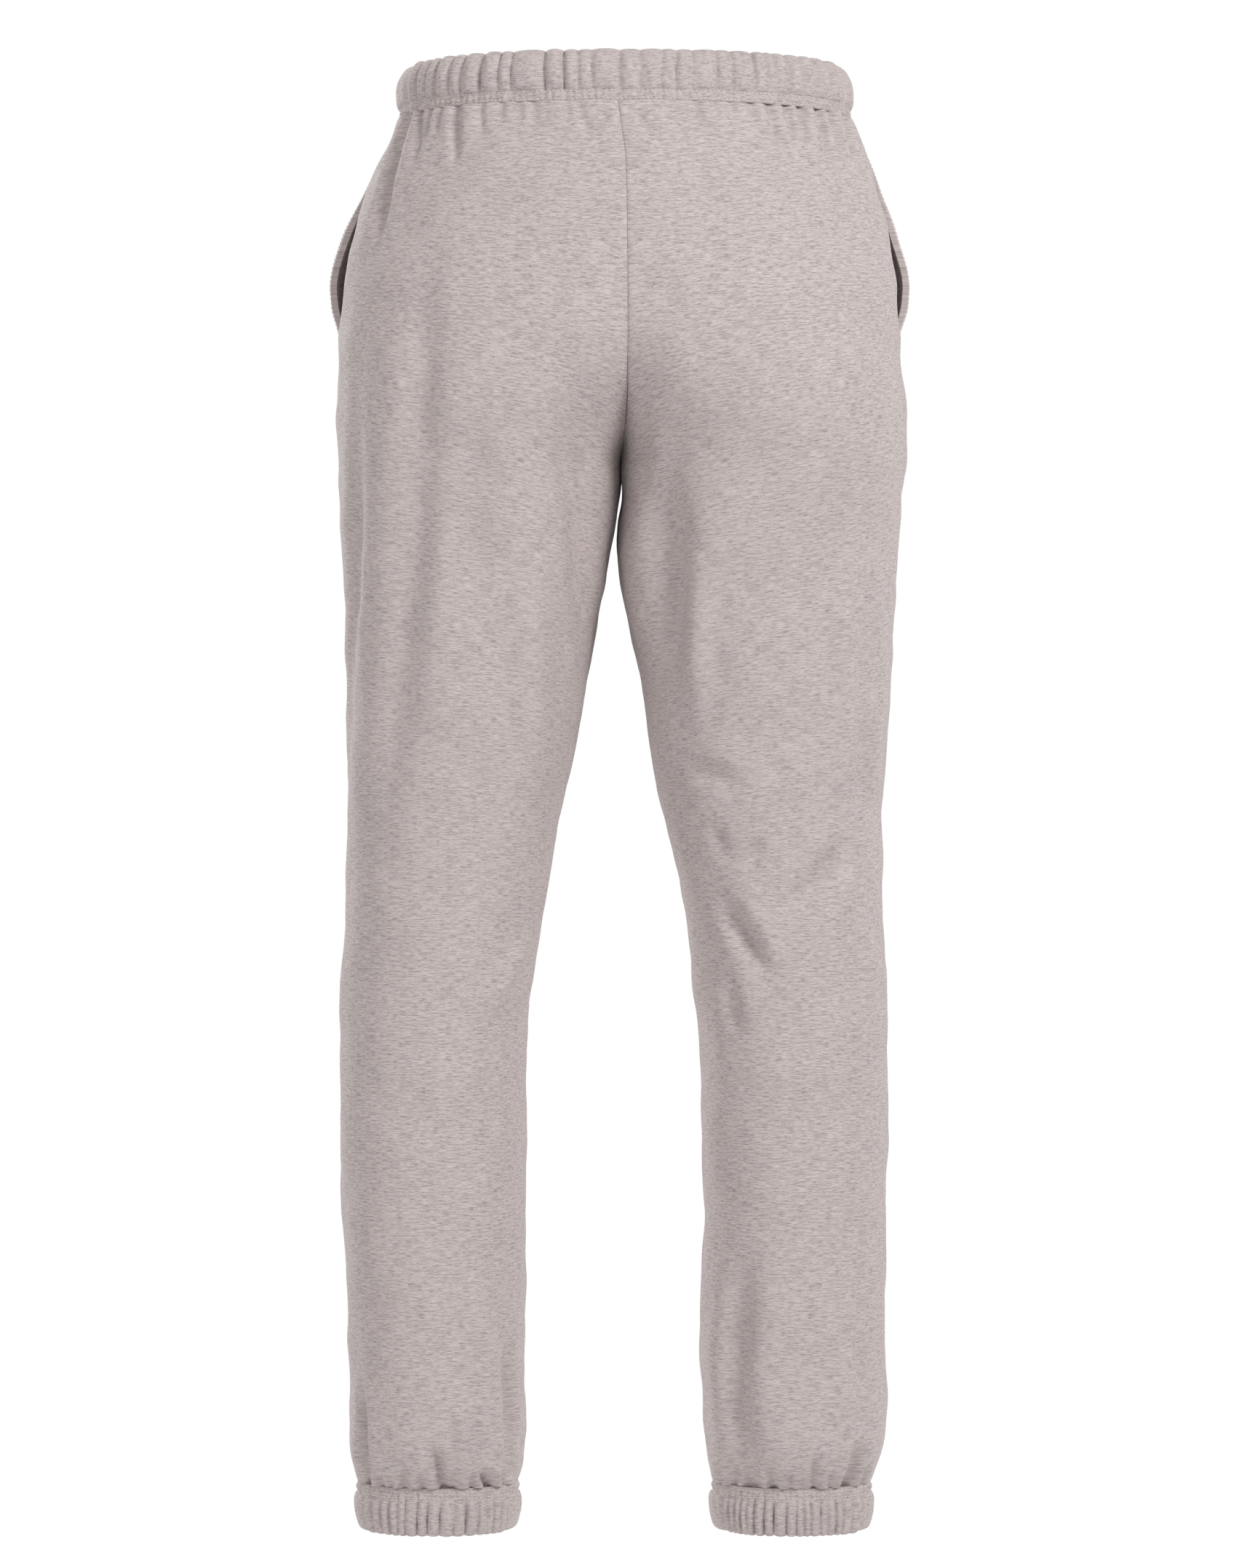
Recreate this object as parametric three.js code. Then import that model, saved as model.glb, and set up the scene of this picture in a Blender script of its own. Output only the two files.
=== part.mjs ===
import * as THREE from 'three';

// Jogger sweatpants, worn open and hollow, in millimetres.
// +X is the wearer's left, +Y the back and +Z up. Z = 0 is half way up the waistband.
// Sizes across a leg are measured outwards from the centre plane, so one table serves either side.

// Driving sizes
const WALL = 1.8;              // sweatshirt knit
const SEAM_GAP = 0.3;          // between two pieces that are sewn together
const ROUNDNESS = 2.3;         // power of the section curve: 2 is an ellipse
const WAIST_BOTTOM = -19;      // where the casing is sewn to the panels
const CROTCH = -262;
const CUFF_TOP = -970;
const BACK_COLUMNS = 20;
const FRONT_COLUMNS = 18;
const POCKET_WALL = 1.2;
const POCKET_CLEARANCE = 2.1;  // between a pocket bag and the panel that it lies against
const POCKET_SEAT = 0.6;       // the same at the mouth, where the bag is sewn to the panel's edge

const CLOTH = { color: 0xb5aaa8, roughness: 0.95, metalness: 0 };
const CASING = { color: 0xb1a6a4, roughness: 0.95, metalness: 0 };
const POCKETING = { color: 0xa89d9b, roughness: 0.95, metalness: 0 };

// Reads short tables: each row becomes an object with the named columns.
function table(names, rows) {
  return rows.map((row) => Object.fromEntries(names.map((name, i) => [name, row[i]])));
}

// Width of each leg at each height: where its side seam and its inseam lie.
// Above the crotch the leg runs past the centre plane, and DEPTHS says how far.
const WIDTHS = {
  left: table(['z', 'outer', 'inner'], [
    [-16.5, 156.5, 0], [-36, 163.7, 0], [-56, 175.4, 0], [-76, 183.5, 0], [-97, 190, 0],
    [-117, 195, 0], [-137, 198, 0], [-178, 200, 0], [-219, 201.2, 0], [-262, 199.6, 2.5],
    [-280, 199.4, 3.6], [-301, 198.4, 6.6], [-321, 196.4, 10.2], [-341, 195.3, 13.3],
    [-382, 194.3, 21.4], [-423, 194, 28], [-464, 193.8, 35.2], [-505, 193.8, 45.4],
    [-545, 194.3, 51.5], [-586, 195.8, 58.6], [-627, 197.9, 65.3], [-647, 198.9, 67.8],
    [-729, 198.9, 68.9], [-770, 197.9, 69], [-811, 195.8, 69.2], [-851, 192.8, 69.9],
    [-892, 192.3, 69.9], [-933, 191.8, 68.9], [-953, 190.7, 70.4], [-970, 187.2, 73.9],
  ]),
  right: table(['z', 'outer', 'inner'], [
    [-16.5, 158, 0], [-36, 167.8, 0], [-56, 174.9, 0], [-76, 180.5, 0], [-97, 186, 0],
    [-117, 190, 0], [-137, 192.6, 0], [-178, 193, 0], [-219, 196.4, 0], [-262, 197.2, -2.2],
    [-280, 194.8, -1.5], [-301, 192.8, -4.1], [-321, 191.3, -4.6], [-341, 190.2, -2.6],
    [-362, 189.2, 1.5], [-382, 188.2, 5.6], [-423, 186.2, 13.8], [-464, 183.1, 18.9],
    [-484, 181.6, 22.4], [-505, 180.3, 27.5], [-545, 180, 37.7], [-586, 181.6, 44.4],
    [-627, 183.6, 48.5], [-647, 184.4, 51], [-688, 184.6, 53.6], [-749, 183.6, 54.6],
    [-790, 183.1, 56.6], [-831, 182.6, 53.8], [-872, 182.4, 53], [-913, 184.4, 55],
    [-933, 183.1, 56.6], [-953, 178.5, 58.1], [-970, 173.4, 61.4],
  ]),
};

// Reach of the back and the front from the side seams, and where the centre seam cuts the section,
// as a share of the leg's half width: 0 is its middle and 1 its inner end, at the crotch.
const DEPTHS = table(['z', 'back', 'front', 'cut'], [
  [-16.5, 105, 105, 0], [-50, 110, 110, 0], [-97, 117, 113, 0.06], [-137, 125, 114, 0.2],
  [-178, 129, 113, 0.42], [-199, 128, 111, 0.59], [-219, 126, 108, 0.775], [-235, 123, 105, 0.9],
  [-250, 120, 102, 0.98], [-262, 117, 100, 1], [-321, 106, 97, 1], [-382, 98, 94, 1],
  [-464, 88, 90, 1], [-545, 80, 86, 1], [-627, 80, 79, 1], [-708, 79, 73, 1], [-790, 77, 71, 1],
  [-892, 74, 70, 1], [-933, 72, 68, 1], [-953, 65, 62, 1], [-970, 51, 51, 1],
]);

// Drift of the centre seam from the centre plane, towards the wearer's left.
const CENTRE_SEAM = table(['z', 'shift'], [
  [-16.5, 4.5], [-68, -1.5], [-160, -2.5], [-213, -2.3], [-262, 2.35],
]);

// The side seam's gape at the pocket mouth: the back edge sinks in and the front edge stands out.
const POCKET_MOUTH = table(['z', 'left', 'right'], [
  [-45, 0, 0], [-70, 2, 2], [-100, 6.5, 5], [-130, 9, 8], [-145, 7.5, 7], [-170, 0, 0],
]);
const MOUTH_REACH = 26;        // how far round the panel the gape is felt
const BACK_EDGE_SHARE = 0.5;   // of the gape, taken by the back edge

// Depth of each pocket bag from its mouth, and the space between its two layers.
const POCKET_BAG = table(['z', 'reach', 'space'], [
  [-54, 48, 1.2], [-72, 84, 4], [-100, 112, 9], [-135, 126, 12], [-170, 130, 9],
  [-205, 122, 5], [-235, 92, 3], [-249, 48, 1.2],
]);

// Largest folds of each panel: head, foot, sideways bow, width and depth, a ridge being negative.
const FOLDS = table(['side', 'face', 'x1', 'z1', 'x2', 'z2', 'bow', 'width', 'depth'], [
  ['left', 'back', 150, -24, 171, -125, 4, 10, 5],
  ['left', 'back', 137, -85, 178, -560, -14, 20, 6],
  ['left', 'back', 108, -200, 103, -400, 0, 22, 4],
  ['left', 'back', 46, -185, 30, -400, -8, 20, 6],
  ['left', 'back', 66, -300, 56, -500, 0, 16, -4],
  ['left', 'back', 64, -580, 90, -640, 0, 14, -4],
  ['left', 'back', 100, -810, 89, -955, 0, 13, -5],
  ['left', 'back', 80, -860, 78, -960, 0, 9, 5],
  ['left', 'back', 131, -930, 124, -972, 0, 8, 5],
  ['left', 'back', 182, -890, 179, -970, 0, 8, 4],
  ['right', 'back', 20, -240, 28, -440, 6, 24, 9],
  ['right', 'back', 45, -300, 52, -470, 0, 14, -4],
  ['right', 'back', 40, -470, 84, -483, 0, 10, 4],
  ['right', 'back', 47, -572, 100, -622, 4, 12, 7],
  ['right', 'back', 158, -512, 100, -575, 8, 14, 5],
  ['right', 'back', 168, -420, 164, -512, 0, 12, 4],
  ['right', 'back', 90, -788, 87, -975, -12, 16, 8],
  ['right', 'back', 152, -860, 150, -930, 0, 12, -4],
  ['right', 'back', 164, -935, 154, -970, 0, 9, 5],
  ['left', 'front', 150, -24, 168, -110, 4, 12, 3],
  ['left', 'front', 40, -190, 34, -400, -8, 22, 6],
  ['left', 'front', 110, -230, 112, -430, 0, 24, 4],
  ['left', 'front', 66, -560, 118, -590, 4, 16, 5],
  ['left', 'front', 176, -500, 128, -560, -6, 16, 4],
  ['left', 'front', 112, -820, 108, -970, 6, 16, 6],
  ['right', 'front', 36, -190, 26, -400, 8, 22, 6],
  ['right', 'front', 112, -220, 108, -420, 0, 24, 4],
  ['right', 'front', 52, -560, 106, -598, -4, 16, 5],
  ['right', 'front', 168, -510, 124, -580, 6, 16, 4],
  ['right', 'front', 108, -830, 104, -970, -6, 16, 6],
]);

// Gathers of the waistband, back and then front: where each valley lies across, and its depth.
const WAIST_GATHERS = {
  back: table(['x', 'depth'], [
    [-151, 1.6], [-141.8, 1.8], [-132.1, 1.4], [-123.4, 1.5], [-113.7, 1.5], [-105, 1.2],
    [-98.9, 1.2], [-89.8, 2.4], [-74, 1.6], [-63.2, 1.2], [-45.9, 1.2], [-34.2, 2], [-24.5, 1],
    [-9.7, 1.4], [3.1, 1.8], [21.4, 1.4], [30.6, 1.4], [40.3, 2.4], [53.6, 2.8], [77.5, 1.6],
    [86.2, 1.6], [99.5, 3], [112.7, 2], [120.9, 1.8], [130.6, 3], [136.7, 1.4], [142.8, 2.2],
    [149.4, 2.6],
  ]),
  front: table(['x', 'depth'], [
    [150, 2], [142, 1.6], [134, 2.2], [125, 1.4], [115, 2], [106, 1.4], [95, 2.6], [84, 1.4],
    [75, 1.8], [60, 2.4], [48, 1.2], [35, 1.8], [22, 1.4], [8, 2], [-6, 1.4], [-20, 2],
    [-31, 1.2], [-45, 2.4], [-58, 1.4], [-70, 1.8], [-84, 2.2], [-95, 1.4], [-104, 2],
    [-116, 1.4], [-125, 2], [-133, 1.5], [-142, 2], [-150, 1.6],
  ]),
};

// Gathers of each cuff, seen from the back; the front repeats them.
const CUFF_GATHERS = {
  left: table(['x', 'depth'], [
    [181, 1.6], [175.4, 1], [168.8, 1.6], [162.7, 2], [156.6, 1.2], [151, 1.6], [142.3, 2.2],
    [135.2, 2.2], [126.5, 2], [116.8, 1.2], [108.6, 2.3], [100.5, 1.7], [94.9, 1.1], [90.3, 1.6],
    [85.7, 1.3], [81.6, 1.5],
  ]),
  right: table(['x', 'depth'], [
    [164.7, 1.6], [157.6, 1.2], [151, 1.2], [145.9, 2.2], [140.3, 1.1], [135.2, 1.6],
    [128.5, 1.8], [124, 1.7], [118.8, 1.6], [112.2, 2.2], [103.5, 2.5], [96.9, 2.4], [90.3, 2.3],
    [85, 1], [81, 2.4], [77, 1.8], [73, 1.5], [69.6, 2.2],
  ]),
};

// Profile of the waist casing and of a cuff casing: height, distance out from the ring's line,
// and the share of the gathers. Both run up or down the outside, over the edge and back inside.
const WAIST_PROFILE = table(['z', 'out', 'share'], [
  [-18.85, 0, 0.4], [-8, 2.2, 1], [4, 1.2, 1], [12.5, -2.8, 1], [16.5, -7.5, 0.5],
  [12.5, -9.8, 0], [0, -5.2, 0], [-18.85, -4.8, 0],
]);
const CUFF_PROFILE = table(['z', 'out', 'share'], [
  [-969.85 - SEAM_GAP, 0.6, 0.4], [-979, 0.4, 1], [-992, -0.4, 1], [-1000.5, -2.2, 0.8], [-1003.5, -5, 0.3],
  [-1000, -7.4, 0], [-969.85 - SEAM_GAP, -4.6, 0],
]);
const WAIST_RING = { centre: -0.75, halfWidth: 157.25, halfDepth: 105 };
const CUFF_RINGS = {
  left: { centre: 130.55, halfWidth: 56.2, halfDepth: 50 },
  right: { centre: -117.4, halfWidth: 55.2, halfDepth: 50 },
};

// Heights of the rows of points on the panels, closer where the form turns fast.
const ROWS_ABOVE = [-19.15, -27, -38, -54, -72, -95, -120, -145, -172, -197, -218, -236, -249, -257];
const ROWS_BELOW_BACK = [-272, -300, -335, -375, -415, -455, -492, -530, -570, -610, -650, -700,
  -760, -820, -870, -905, -930, -945, -958, -969.85];
const ROWS_BELOW_FRONT = [-272, -300, -345, -400, -455, -510, -565, -620, -690, -760, -825, -880,
  -920, -943, -958, -969.85];

const SIGN = { left: 1, right: -1 };
const FACING = { back: 1, front: -1 };

function smoothStep(x) {
  const t = Math.min(1, Math.max(0, x));
  return t * t * (3 - 2 * t);
}

// Reads a column of a table at height z, on a curve that never overshoots its rows.
function read(rows, column, z) {
  const last = rows.length - 1;
  if (z >= rows[0].z) return rows[0][column];
  if (z <= rows[last].z) return rows[last][column];
  let i = 0;
  while (rows[i + 1].z > z) i += 1;
  const slope = (k) => (rows[k + 1][column] - rows[k][column]) / (rows[k + 1].z - rows[k].z);
  const tangent = (k) => {
    if (k === 0) return slope(0);
    if (k === last) return slope(last - 1);
    const before = slope(k - 1);
    const after = slope(k);
    return before * after <= 0 ? 0 : (2 * before * after) / (before + after);
  };
  const h = rows[i + 1].z - rows[i].z;
  const t = (z - rows[i].z) / h;
  const rise = rows[i + 1][column] - rows[i][column];
  return rows[i][column] + rise * t * t * (3 - 2 * t)
    + h * t * (1 - t) * ((1 - t) * tangent(i) - t * tangent(i + 1));
}

// Section of a leg at height z: a rounded curve about its middle, cut off at the centre seam.
function section(side, face, z) {
  const outer = read(WIDTHS[side], 'outer', z);
  const depth = read(DEPTHS, face, z);
  if (z <= CROTCH) {
    const inner = read(WIDTHS[side], 'inner', z);
    return { middle: (outer + inner) / 2, half: (outer - inner) / 2, depth, end: inner };
  }
  const cut = read(DEPTHS, 'cut', z);
  const end = SIGN[side] * read(CENTRE_SEAM, 'shift', z) + SEAM_GAP / 2;
  const inner = (2 * end - outer * (1 - cut)) / (1 + cut);
  return { middle: (outer + inner) / 2, half: (outer - inner) / 2, depth, end };
}

function sectionPoint(form, angle) {
  const power = 2 / ROUNDNESS;
  const across = Math.cos(angle);
  const out = Math.abs(Math.sin(angle));
  const x = form.middle + form.half * Math.sign(across) * Math.abs(across) ** power;
  return { x, y: form.depth * out ** power };
}

function sectionNormal(form, point) {
  const u = (point.x - form.middle) / form.half;
  const v = point.y / form.depth;
  const nx = (Math.sign(u) * Math.abs(u) ** (ROUNDNESS - 1)) / form.half;
  const ny = Math.abs(v) ** (ROUNDNESS - 1) / form.depth;
  const size = Math.hypot(nx, ny);
  return { x: nx / size, y: ny / size };
}

// Places a section's points evenly along its own length, from the side seam to its inner end.
const SAMPLES = 240;
function spacedSection(side, face, z, shares) {
  const form = section(side, face, z);
  const across = Math.max(-1, (form.end - form.middle) / form.half);
  const last = Math.acos(Math.sign(across) * Math.abs(across) ** (ROUNDNESS / 2));
  const curve = [];
  let length = 0;
  for (let i = 0; i <= SAMPLES; i += 1) {
    const point = sectionPoint(form, (last * i) / SAMPLES);
    if (i > 0) length += Math.hypot(point.x - curve[i - 1].x, point.y - curve[i - 1].y);
    curve.push({ ...point, length });
  }
  const from = SEAM_GAP / 2;
  const to = z <= CROTCH ? length - SEAM_GAP / 2 : length;
  return shares.map((share) => {
    const want = from + (to - from) * share;
    let i = 1;
    while (i < SAMPLES && curve[i].length < want) i += 1;
    const t = (want - curve[i - 1].length) / (curve[i].length - curve[i - 1].length);
    const point = {
      x: curve[i - 1].x + (curve[i].x - curve[i - 1].x) * t,
      y: curve[i - 1].y + (curve[i].y - curve[i - 1].y) * t,
    };
    const normal = sectionNormal(form, point);
    return { ...point, z, nx: normal.x, ny: normal.y, fromSide: want, toInner: length - want };
  });
}

function depthAt(side, face, x, z) {
  const form = section(side, face, z);
  const u = Math.min(1, Math.abs((x - form.middle) / form.half));
  return form.depth * (1 - u ** ROUNDNESS) ** (1 / ROUNDNESS);
}

// A fold's line on the cloth, from head to foot, bowed sideways in the middle.
const FOLD_STEPS = 8;
function foldLine(fold) {
  const line = [];
  const length = Math.hypot(fold.x2 - fold.x1, fold.z2 - fold.z1);
  for (let i = 0; i <= FOLD_STEPS; i += 1) {
    const t = i / FOLD_STEPS;
    const bow = 4 * t * (1 - t) * fold.bow;
    const x = fold.x1 + (fold.x2 - fold.x1) * t - (bow * (fold.z2 - fold.z1)) / length;
    const z = fold.z1 + (fold.z2 - fold.z1) * t + (bow * (fold.x2 - fold.x1)) / length;
    line.push({ x, z, y: depthAt(fold.side, fold.face, x, z), t });
  }
  return line;
}
const FOLD_LINES = FOLDS.map((fold) => ({ ...fold, line: foldLine(fold) }));

// How far the folds push a point of a panel out of its plain section.
function foldHeight(side, face, p) {
  let height = 0;
  for (const fold of FOLD_LINES) {
    if (fold.side !== side || fold.face !== face) continue;
    let nearest = Infinity;
    let along = 0;
    for (let i = 0; i < FOLD_STEPS; i += 1) {
      const a = fold.line[i];
      const b = fold.line[i + 1];
      const run = [b.x - a.x, b.y - a.y, b.z - a.z];
      const gap = [p.x - a.x, p.y - a.y, p.z - a.z];
      const dot = run[0] * gap[0] + run[1] * gap[1] + run[2] * gap[2];
      const t = Math.min(1, Math.max(0, dot / (run[0] ** 2 + run[1] ** 2 + run[2] ** 2)));
      const distance = Math.hypot(gap[0] - run[0] * t, gap[1] - run[1] * t, gap[2] - run[2] * t);
      if (distance < nearest) {
        nearest = distance;
        along = a.t + (b.t - a.t) * t;
      }
    }
    const taper = Math.sin(Math.PI * (0.12 + 0.76 * along)) ** 1.5;
    height -= fold.depth * taper * Math.exp(-((nearest / fold.width) ** 2));
  }
  const edge = smoothStep(p.toInner / 16) * smoothStep(p.fromSide / 12);
  return height * edge;
}

// Gathers run from the sewn edges into the panels and fade: a crest and a valley on turn about.
function gatherHeight(column, z) {
  const way = column % 2 === 0 ? 1 : -1;
  const uneven = 0.75 + 0.25 * Math.sin(column * 2.3 + 1);
  const atWaist = 1.5 * (1 - smoothStep((WAIST_BOTTOM - z) / 62));
  const atCuff = 2.4 * (1 - smoothStep((z - CUFF_TOP) / 62));
  return way * uneven * (atWaist + atCuff);
}

// One point of a panel, with its folds, gathers and the gape of the pocket mouth.
function panelPoint(side, face, p, column, inset) {
  const push = foldHeight(side, face, p) + gatherHeight(column, p.z) - inset;
  const mouth = read(POCKET_MOUTH, side, p.z) * Math.exp(-((p.fromSide / MOUTH_REACH) ** 2));
  const gape = face === 'back' ? -mouth * BACK_EDGE_SHARE : mouth;
  const x = p.x + p.nx * push + gape;
  const y = p.y + p.ny * push;
  return new THREE.Vector3(SIGN[side] * x, FACING[face] * y, p.z);
}

function evenShares(count) {
  return Array.from({ length: count + 1 }, (_, i) => i / count);
}

// Closes a grid of points: the outer face, the inner face and the wall's edges between them.
function shellGeometry(outer, inner, closedRound) {
  const rows = outer.length;
  const columns = outer[0].length;
  const points = [...outer.flat(), ...inner.flat()];
  const far = rows * columns;
  const faces = [];
  const quad = (a, b, c, d) => faces.push([a, b, c], [a, c, d]);
  const spans = closedRound ? columns : columns - 1;
  for (let r = 0; r < rows - 1; r += 1) {
    for (let c = 0; c < spans; c += 1) {
      const a = r * columns + c;
      const b = r * columns + ((c + 1) % columns);
      quad(a, b, b + columns, a + columns);
      quad(far + b, far + a, far + a + columns, far + b + columns);
    }
  }
  for (let c = 0; c < spans; c += 1) {
    const top = [c, (c + 1) % columns];
    const base = (rows - 1) * columns;
    quad(top[1], top[0], far + top[0], far + top[1]);
    quad(base + top[0], base + top[1], far + base + top[1], far + base + top[0]);
  }
  if (!closedRound) {
    for (let r = 0; r < rows - 1; r += 1) {
      const left = r * columns;
      const right = left + columns - 1;
      quad(left, left + columns, far + left + columns, far + left);
      quad(right + columns, right, far + right, far + right + columns);
    }
  }
  return solidGeometry(points, faces);
}

// Makes a geometry whose faces point out: if its volume comes out negative, they are turned.
function solidGeometry(points, faces) {
  let volume = 0;
  const cross = new THREE.Vector3();
  for (const [a, b, c] of faces) volume += points[a].dot(cross.crossVectors(points[b], points[c]));
  const index = faces.flatMap(([a, b, c]) => (volume > 0 ? [a, b, c] : [a, c, b]));
  const geometry = new THREE.BufferGeometry();
  geometry.setAttribute('position', new THREE.Float32BufferAttribute(points.flatMap((p) => p.toArray()), 3));
  geometry.setIndex(index);
  geometry.computeVertexNormals();
  return geometry;
}

// A leg panel, from the waistband's seam down to the cuff's.
function panel(side, face) {
  const below = face === 'back' ? ROWS_BELOW_BACK : ROWS_BELOW_FRONT;
  const heights = [...ROWS_ABOVE, CROTCH, ...below];
  const shares = evenShares(face === 'back' ? BACK_COLUMNS : FRONT_COLUMNS);
  const outer = [];
  const inner = [];
  for (const z of heights) {
    const row = spacedSection(side, face, z, shares);
    outer.push(row.map((p, column) => panelPoint(side, face, p, column, 0)));
    inner.push(row.map((p, column) => panelPoint(side, face, p, column, WALL)));
  }
  return shellGeometry(outer, inner, false);
}

// A pocket bag: one sheet that runs forward from the front edge of the mouth, turns, and comes back
// to the back edge, so that it is open at the mouth and nearly shut along its top and bottom.
function pocketBag(side) {
  const layerColumns = 6;
  const outer = [];
  const inner = [];
  const [top, bottom] = [POCKET_BAG[0].z, POCKET_BAG[POCKET_BAG.length - 1].z];
  for (const z of ROWS_ABOVE.filter((height) => height <= top && height >= bottom)) {
    const length = sectionLength(side, 'front', z);
    const reach = read(POCKET_BAG, 'reach', z);
    const mouth = read(POCKET_MOUTH, side, z);
    const gap = read(POCKET_BAG, 'space', z) + 2 * POCKET_WALL;
    const sheet = (extra) => {
      const shares = evenShares(layerColumns).map((t) => 0.006 + (t * (reach - extra)) / length);
      const line = spacedSection(side, 'front', z, shares);
      const seat = (column) => WALL + (column === 0 ? POCKET_SEAT : POCKET_CLEARANCE);
      const near = line.map((p, column) => bagPoint(side, p, mouth, seat(column) + extra));
      const back = line.map((p, column) => bagPoint(side, p, mouth, seat(column) + gap - extra));
      return [...near, ...back.reverse()];
    };
    outer.push(sheet(0));
    inner.push(sheet(POCKET_WALL));
  }
  return shellGeometry(outer, inner, false);
}

function sectionLength(side, face, z) {
  return spacedSection(side, face, z, [1])[0].fromSide;
}

function bagPoint(side, p, mouth, depth) {
  const gape = mouth * Math.exp(-((p.fromSide / MOUTH_REACH) ** 2));
  const push = Math.min(0, foldHeight(side, 'front', p)) - depth;
  return new THREE.Vector3(SIGN[side] * (p.x + p.nx * push + gape), -(p.y + p.ny * push), p.z);
}

// A gathered casing: a closed profile carried round a ring, raised in waves on its outside only.
function casing(ring, profile, gathers) {
  const curve = ringCurve(ring);
  const valleys = gathers.map((g) => ({ at: ringPlace(ring, curve, g), depth: g.depth }));
  valleys.sort((a, b) => a.at - b.at);
  const stations = [];
  valleys.forEach((valley, i) => {
    const next = valleys[(i + 1) % valleys.length];
    const span = (next.at - valley.at + 1) % 1;
    const crest = 0.35 * (valley.depth + next.depth) * Math.min(1, span * valleys.length);
    stations.push({ at: valley.at, height: -valley.depth * 0.6 });
    stations.push({ at: (valley.at + span / 3) % 1, height: crest });
    stations.push({ at: (valley.at + (2 * span) / 3) % 1, height: crest });
  });
  const around = stations.map((s) => ({ ...curvePoint(curve, s.at), height: s.height }));
  const rows = profile.map((edge) => around.map((p) => {
    const push = edge.out + edge.share * p.height;
    return new THREE.Vector3(p.x + p.nx * push, p.y + p.ny * push, edge.z);
  }));
  return loopGeometry(rows);
}

function ringCurve(ring) {
  const form = { middle: ring.centre, half: ring.halfWidth, depth: ring.halfDepth };
  const curve = [];
  let length = 0;
  const steps = 2 * SAMPLES;
  for (let i = 0; i <= steps; i += 1) {
    const angle = (2 * Math.PI * i) / steps;
    const point = sectionPoint(form, angle);
    point.y *= Math.sign(Math.sin(angle)) || 1;
    const normal = sectionNormal(form, { x: point.x, y: Math.abs(point.y) });
    const way = point.y < 0 ? -1 : 1;
    if (i > 0) length += Math.hypot(point.x - curve[i - 1].x, point.y - curve[i - 1].y);
    curve.push({ ...point, nx: normal.x, ny: way * normal.y, length });
  }
  return curve.map((p) => ({ ...p, at: p.length / length }));
}

// Finds the place on a ring, as a share of its length, of a valley seen at x on its back or front.
function ringPlace(ring, curve, gather) {
  const half = gather.face === 'back' ? curve.filter((p) => p.y >= 0) : curve.filter((p) => p.y <= 0);
  let best = half[0];
  for (const p of half) {
    if (Math.abs(p.x - gather.x) < Math.abs(best.x - gather.x)) best = p;
  }
  return best.at % 1;
}

function curvePoint(curve, at) {
  let i = 1;
  while (i < curve.length - 1 && curve[i].at < at) i += 1;
  const a = curve[i - 1];
  const b = curve[i];
  const t = (at - a.at) / (b.at - a.at);
  const mix = (key) => a[key] + (b[key] - a[key]) * t;
  return { x: mix('x'), y: mix('y'), nx: mix('nx'), ny: mix('ny') };
}

// Closes rows of points both ways round, as a ring with a closed profile.
function loopGeometry(rows) {
  const columns = rows[0].length;
  const faces = [];
  for (let r = 0; r < rows.length; r += 1) {
    const next = (r + 1) % rows.length;
    for (let c = 0; c < columns; c += 1) {
      const d = (c + 1) % columns;
      const corners = [r * columns + c, r * columns + d, next * columns + d, next * columns + c];
      faces.push([corners[0], corners[1], corners[2]], [corners[0], corners[2], corners[3]]);
    }
  }
  return solidGeometry(rows.flat(), faces);
}

function waistband() {
  const back = WAIST_GATHERS.back.map((g) => ({ ...g, face: 'back' }));
  const front = WAIST_GATHERS.front.map((g) => ({ ...g, face: 'front' }));
  return casing(WAIST_RING, WAIST_PROFILE, [...back, ...front]);
}

function cuff(side) {
  const seen = CUFF_GATHERS[side].map((g) => ({ ...g, x: SIGN[side] * g.x, face: 'back' }));
  const hidden = seen.map((g) => ({ ...g, face: 'front' }));
  return casing(CUFF_RINGS[side], CUFF_PROFILE, [...seen, ...hidden]);
}

const trousers = new THREE.Group();

function add(name, geometry, finish) {
  const mesh = new THREE.Mesh(geometry, new THREE.MeshStandardMaterial(finish));
  mesh.name = name;
  trousers.add(mesh);
}

add('waistband', waistband(), CASING);
for (const side of ['left', 'right']) {
  add(`back_${side}`, panel(side, 'back'), CLOTH);
  add(`front_${side}`, panel(side, 'front'), CLOTH);
  add(`pocket_${side}`, pocketBag(side), POCKETING);
  add(`cuff_${side}`, cuff(side), CASING);
}

export default trousers;
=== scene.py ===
import math

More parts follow.
